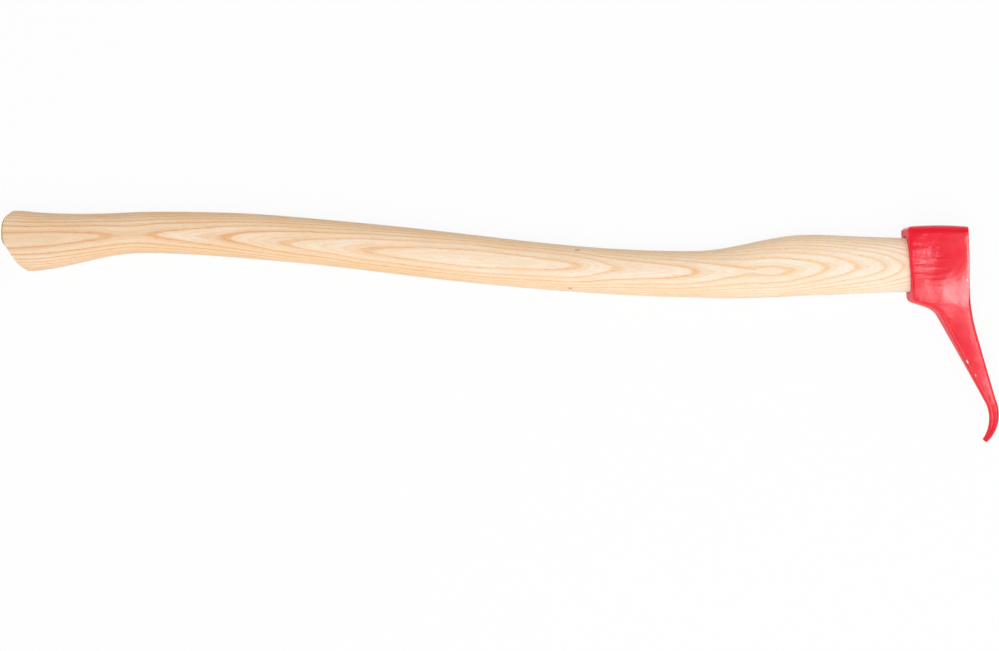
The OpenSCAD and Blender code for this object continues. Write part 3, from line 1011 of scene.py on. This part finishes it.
def make_wood(name, colours, find_place):
    material, add = new_material(name)
    shades = {part: linear(colour) for part, colour in colours.items()}
    place, year = find_place(add)
    fibre = streaks(add, place, FIBRE_RATE, detail=4.0, roughness=0.65)
    speck = streaks(add, place, SPECK_RATE)
    broad = streaks(add, place, BROAD_RATE)
    band = year_lines(add, field_of_years(add, place, year), fibre)
    along = add("SeparateXYZ", (place,), "X")
    # Painted light: the wood goes warmer and darker towards the butt and paler towards the head end
    painted_falloff = ranged(add, along, (butt_x, -MOUTH), (BUTT_PAINTED_SHADE, MOUTH_PAINTED_LIGHT))
    share = add("Math", (fibre, FIBRE_WARMTH, WARMTH_START), operation="MULTIPLY_ADD")
    share = add("Math", (speck, SPECK_WARMTH, share), operation="MULTIPLY_ADD")
    share = add("Math", (broad, BROAD_WARMTH, share), operation="MULTIPLY_ADD")
    share = add("Math", (share, painted_falloff), operation="ADD")
    # Painted shade: the rounded edges of the long middle go warmer and darker with depth under the broad
    # side
    depth = add("SeparateXYZ", (place,), "Z")
    far = add("Math", (along, LONG_MIDDLE), operation="SUBTRACT")
    far = add("Math", (far,), operation="ABSOLUTE")
    most = ranged(add, far, LONG_MIDDLE_ENDS, (EDGE_PAINTED_SHADE, 0))
    edge = ranged(add, depth, EDGE_SHADE_DEPTHS, (0, most))
    share = add("Math", (share, edge), operation="ADD")
    ground = blend(add, share, shades["light"], shades["warm"])
    # The lines are paler where the painted light is
    paler = add("Math", (painted_falloff, PALE_BY_PAINTED_LIGHT, PALE_START), operation="MULTIPLY_ADD")
    line = blend(add, paler, shades["line"], shades["pale_line"])
    colour = blend(add, band, ground, line)
    dashes = streaks(add, place, PORE_RATE, detail=1.0)
    dashes = ranged(add, dashes, PORE_RANGE, (0, PORE_DARK))
    near_band = add("Math", (band, PORES_BETWEEN), operation="ADD")
    dashes = add("Math", (dashes, near_band), operation="MULTIPLY")
    far = spots(add, place, speck, FLECKS)
    fleck = ranged(add, far, FLECK_RANGE, (0, FLECK_DARK))
    dark = add("Math", (dashes, fleck), operation="MAXIMUM")
    colour = blend(add, dark, colour, shades["pore"])
    # Darker end grain, which also paints the shade on the butt's chamfer
    facing = add("SeparateXYZ", (add("NewGeometry", output="Normal"),), "X")
    end = add("Math", (facing,), operation="ABSOLUTE")
    end = ranged(add, end, END_FACING, (0, END_AND_CHAMFER_SHADE))
    colour = blend(add, end, colour, shades["end"])
    height = add("Math", (band, BAND_SUNK, fibre), operation="MULTIPLY_ADD")
    bump = add("Bump", {"Height": height, "Strength": WOOD_BUMP, "Distance": WOOD_BUMP_DEEP * MM})
    rough = add("Math", (fibre, FIBRE_ROUGH, WOOD_ROUGH), operation="MULTIPLY_ADD")
    shader = add(
        "BsdfPrincipled", {"Base Color": colour, "Roughness": rough, "IOR": WOOD_IOR, "Normal": bump}
    )
    add("OutputMaterial", {"Surface": shader})
    return material


def place_in_handle(add):
    """Place and year that the handle's points carry."""
    place = add("Attribute", output="Vector", attribute_name="tree")
    return place, add("Attribute", output="Fac", attribute_name="year")


def place_in_wedge(add):
    """Place in the wooden wedge, whose rings lie across it."""
    coords = add("TexCoord", output="Object")
    return add("VectorMath", (coords, PER_MM), operation="MULTIPLY"), 0.0


ash = make_wood("oiled_ash", ASH, place_in_handle)
handle.data.materials.clear()
handle.data.materials.append(ash)
wedge_wood = make_wood("beech_wedge", BEECH, place_in_wedge)
print("made", ash.name, "and", wedge_wood.name)

# %% [markdown]
# ## Gloss paint on forged steel
# The head was dipped in one thick coat of red enamel. It is glossy but follows the forged skin below,
# so broad lights in it have soft, slightly wavy edges. Painted shade darkens the red along sharp edges,
# the sides that face the handle took a thinner and duller coat, and three small dents each hold a
# painted glint inside a rim of painted shade. Inside the eye there is no paint, only dark forging
# scale, and the same dark colour paints the shade in the gap at the eye's mouth.

# %% Make the red paint
PAINT_RED = "#F31B32"
PAINT_DEEP_AND_SHADE = "#CE0E26"
DENT_SHADE_RED = "#7E0A18"
GLINT_WHITE = "#F9F0EE"
SCALE_AND_GAP_SHADE = "#5A3A30"
PEEL_WIDE = 1.6
PEEL_HIGH = 0.03
WAVE_WIDE = 9
WAVE_HIGH = 0.3
# Fine drawing marks, how they fade from the mouth and how they change a mm along each axis
DRAWN_REACH = (2, 14)
DRAWN_HIGH = (0.35, 0.05)
DRAWN_RATE = (0.04, 0.42, 0.1)
GLOSS = 0.165
DULL = 0.5
HANDLE_WARD = (-0.8, -0.6, 0)
DULL_FACING = (0.35, 0.6)
# Deep red: how the waves bring it, and the painted shade it puts on the pointed edges
DEEP_BY_WAVE = 0.8
DEEP_START = -0.3
SHARP_RANGE = (0.52, 0.6)
SHARP_PAINTED_SHADE = 0.7
PAINT_BUMP = 0.4
PAINT_IOR = 1.47
# Where the eye's oval ends for the paint, the scale and the painted shade in the gap at its mouth, as
# the sum of its powers
EYE_RIM = (1.22, 1.08)
# Painted glints in small dents: middle, half length, half width and turn, then their edges, the rims of
# painted shade round them, and how rough and deep they are
GLINT_DENTS = [
    (22.8, -12.8, 1.0, 0.6, 80), (24.2, -80.2, 2.0, 0.5, -63), (31.4, -91.7, 1.2, 0.25, -60),
]
GLINT_RANGE = (1.5, 1.2)
DENT_SHADE_RANGE = (2.2, 1.5)
DENT_SHADE_DARK = 0.5
GLINT_ROUGH = 0.3
DENT_DEEP = -0.25


def in_eye(add, place):
    """One inside the eye's oval, and nothing outside it."""
    round_sum = 0.0
    for axis, middle, half in (("Y", 0.0, EYE_DEEP / 2), ("Z", middle_z, EYE_WIDE / 2)):
        far = add("Math", (add("SeparateXYZ", (place,), axis), middle), operation="SUBTRACT")
        far = add("Math", (far,), operation="ABSOLUTE")
        far = add("Math", (far, half), operation="DIVIDE")
        far = add("Math", (far, OVAL_POWER), operation="POWER")
        round_sum = add("Math", (far, round_sum), operation="ADD")
    return ranged(add, round_sum, EYE_RIM)


def make_paint():
    material, add = new_material("red_gloss_enamel")
    coords = add("TexCoord", output="Object")
    place = add("VectorMath", (coords, PER_MM), operation="MULTIPLY")
    peel = add("TexNoise", {"Vector": place, "Scale": 1 / PEEL_WIDE, "Detail": 2.0})
    waves = add("TexNoise", {"Vector": place, "Scale": 1 / WAVE_WIDE, "Detail": 2.0})
    drawn = streaks(add, place, DRAWN_RATE, detail=4.0)
    from_mouth = add("SeparateXYZ", (place,), "X")
    near_mouth = ranged(add, from_mouth, DRAWN_REACH, DRAWN_HIGH)
    far = spots(add, place, peel, GLINT_DENTS)
    up = add("SeparateXYZ", (place,), "Z")
    on_top = add("Math", (up, middle_z), operation="GREATER_THAN")
    painted_glint = ranged(add, far, GLINT_RANGE)
    painted_glint = add("Math", (painted_glint, on_top), operation="MULTIPLY")
    dent_shade = ranged(add, far, DENT_SHADE_RANGE, (0, DENT_SHADE_DARK))
    dent_shade = add("Math", (dent_shade, on_top), operation="MULTIPLY")
    # Painted shade: the red goes deeper along sharp edges
    edge_shade = add("NewGeometry", output="Pointiness")
    edge_shade = ranged(add, edge_shade, SHARP_RANGE, (0, SHARP_PAINTED_SHADE))
    tone_and_edge_shade = add("Math", (waves, DEEP_BY_WAVE, DEEP_START), operation="MULTIPLY_ADD")
    tone_and_edge_shade = add("Math", (edge_shade, tone_and_edge_shade), operation="MAXIMUM")
    colour = blend(add, tone_and_edge_shade, linear(PAINT_RED), linear(PAINT_DEEP_AND_SHADE))
    # Painted shade in a rim round each dent, and a painted glint in it
    colour = blend(add, dent_shade, colour, linear(DENT_SHADE_RED))
    colour = blend(add, painted_glint, colour, linear(GLINT_WHITE))
    # Dark scale inside the eye, which also paints the shade in the gap at its mouth
    colour = blend(add, in_eye(add, place), colour, linear(SCALE_AND_GAP_SHADE))
    normal = add("NewGeometry", output="Normal")
    inward = add("VectorMath", (normal, HANDLE_WARD), "Value", operation="DOT_PRODUCT")
    dull = ranged(add, inward, DULL_FACING, (GLOSS, DULL))
    rough = add("Math", (painted_glint, GLINT_ROUGH, dull), operation="MULTIPLY_ADD")
    height = add("Math", (waves, WAVE_HIGH), operation="MULTIPLY")
    height = add("Math", (peel, PEEL_HIGH, height), operation="MULTIPLY_ADD")
    height = add("Math", (drawn, near_mouth, height), operation="MULTIPLY_ADD")
    height = add("Math", (painted_glint, DENT_DEEP, height), operation="MULTIPLY_ADD")
    bump = add("Bump", {"Height": height, "Strength": PAINT_BUMP, "Distance": MM})
    shader = add(
        "BsdfPrincipled", {"Base Color": colour, "Roughness": rough, "IOR": PAINT_IOR, "Normal": bump}
    )
    add("OutputMaterial", {"Surface": shader})
    return material


paint = make_paint()
head.data.materials.clear()
head.data.materials.append(paint)

# %% [markdown]
# The ring wedge is plain mild steel, turned and driven in bare. It is small and only its end shows, so
# fine turning marks and a little dullness are enough.

# %% Make the wedge's steel
STEEL_LIGHT = "#B9B9BC"
STEEL_DARK = "#8E8E90"
TURNING_WIDE = 1.1
STEEL_BUMP = 0.2
STEEL_BUMP_DEEP = 0.1
STEEL_ROUGH = 0.28
TURNING_ROUGH = 0.2


def make_steel():
    material, add = new_material("turned_steel")
    coords = add("TexCoord", output="Object")
    place = add("VectorMath", (coords, PER_MM), operation="MULTIPLY")
    fine = add("TexNoise", {"Vector": place, "Scale": 1 / TURNING_WIDE, "Detail": 3.0})
    colour = blend(add, fine, linear(STEEL_DARK), linear(STEEL_LIGHT))
    bump = add("Bump", {"Height": fine, "Strength": STEEL_BUMP, "Distance": STEEL_BUMP_DEEP * MM})
    rough = add("Math", (fine, TURNING_ROUGH, STEEL_ROUGH), operation="MULTIPLY_ADD")
    shader = add(
        "BsdfPrincipled", {"Base Color": colour, "Metallic": 1.0, "Roughness": rough, "Normal": bump}
    )
    add("OutputMaterial", {"Surface": shader})
    return material


steel = make_steel()
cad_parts["wooden_wedge"].material_slots[0].material = wedge_wood
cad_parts["ring_wedge"].material_slots[0].material = steel

# %% [markdown]
# ## Tie the pieces to the frame
# Nothing on a log pick moves, so all of it rides on one body. The new handle and head stand for the
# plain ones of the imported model.

# %% Ride and replace
for piece, node, slot in ((handle, "handle", "ash_wood"), (head, "pick_head", "red_paint")):
    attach(piece, "root")
    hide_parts(node)

# %% [markdown]
# ## Floor and light
# The tool lies in a round white booth that is open at the top. The booth shows white to the camera and
# in reflections by its own colour, and keeps a faint shadow. The light is plain: an even sky, a wide
# soft light on the pick's side, another over the handle, and a smaller one over the head, whose
# reflection draws the cheek.

# %% The white booth
BOOTH_RADIUS = 4
BOOTH_TALL = 2.4
BOOTH_SIDES = 96
BOOTH_GREY = 0.9
BOOTH_PLAIN = 0.93

bpy.ops.object.select_all(action="DESELECT")
bpy.ops.mesh.primitive_circle_add(vertices=BOOTH_SIDES, radius=BOOTH_RADIUS, fill_type="NGON")
booth = bpy.context.object
booth.name = "white_booth"
bpy.ops.object.mode_set(mode="EDIT")
bpy.ops.mesh.select_all(action="SELECT")
bpy.ops.mesh.region_to_loop()
bpy.ops.mesh.extrude_region_move(TRANSFORM_OT_translate={"value": (0, 0, BOOTH_TALL)})
bpy.ops.object.mode_set(mode="OBJECT")


def make_booth():
    material, add = new_material("white_booth_paint")
    seen = add("Math", (add("LightPath", output="Is Camera Ray"), 0.0), operation="ADD")
    for kind in ("Is Glossy Ray", "Is Transmission Ray"):
        seen = add("Math", (seen, add("LightPath", output=kind)), operation="MAXIMUM")
    lit = add("BsdfDiffuse", {"Color": (BOOTH_GREY, BOOTH_GREY, BOOTH_GREY, 1)})
    plain = add("Emission", {"Color": (1, 1, 1, 1), "Strength": 1.0})
    share = add("Math", (seen, BOOTH_PLAIN), operation="MULTIPLY")
    add("OutputMaterial", {"Surface": add("MixShader", (share, lit, plain))})
    return material


booth.data.materials.append(make_booth())


# %% Lamps and the sky
def soft_light(name, place, aim, size, power):
    """A round soft light at a place, turned towards a point, both in metres."""
    bpy.ops.object.select_all(action="DESELECT")
    bpy.ops.object.light_add(type="AREA", location=place)
    lamp = bpy.context.object
    lamp.name = name
    lamp.data.shape = "DISK"
    lamp.data.size = size
    lamp.data.energy = power
    lamp.rotation_mode = "QUATERNION"
    lamp.rotation_quaternion = (Vector(aim) - Vector(place)).to_track_quat("-Z", "Y")


soft_light("side_softbox", place=(0.1, -1.5, 1.3), aim=(-0.2, 0, 0), size=1.4, power=4.5)
soft_light("over_softbox", place=(-0.45, -0.5, 1.6), aim=(-0.35, 0, 0), size=0.9, power=8.5)
soft_light("head_softbox", place=(0.62, -0.16, 1.5), aim=(0, -0.02, 0), size=0.341, power=3.95)

# The sky is even, but darker beyond the crown, and dark where the flat cheek mirrors it overhead
SKY_LIGHT = 1.0
ROOF_LIGHT = 0.08
ROOF_MIDDLE = (0.17, 0.03, 0.985)
ROOF_EDGE = (0.84, 0.95)
FAR_SIDE = 0.25
FAR_SIDE_RANGE = (-0.1, 0.7)

world = bpy.data.worlds.new("studio")
world.use_nodes = True
world.node_tree.nodes.clear()
bpy.context.scene.world = world
add = partial(add_node, world.node_tree)
direction = add("TexCoord", output="Generated")
height = add("VectorMath", (direction, ROOF_MIDDLE), "Value", operation="DOT_PRODUCT")
side = add("SeparateXYZ", (direction,), "Y")
strength = ranged(
    add, height, ROOF_EDGE, (SKY_LIGHT, ROOF_LIGHT), interpolation_type="SMOOTHSTEP"
)
shade = ranged(add, side, FAR_SIDE_RANGE, (1, FAR_SIDE))
strength = add("Math", (strength, shade), operation="MULTIPLY")
add("OutputWorld", {"Surface": add("Background", {"Color": (1, 1, 1, 1), "Strength": strength})})
bpy.context.scene.view_settings.view_transform = "Standard"
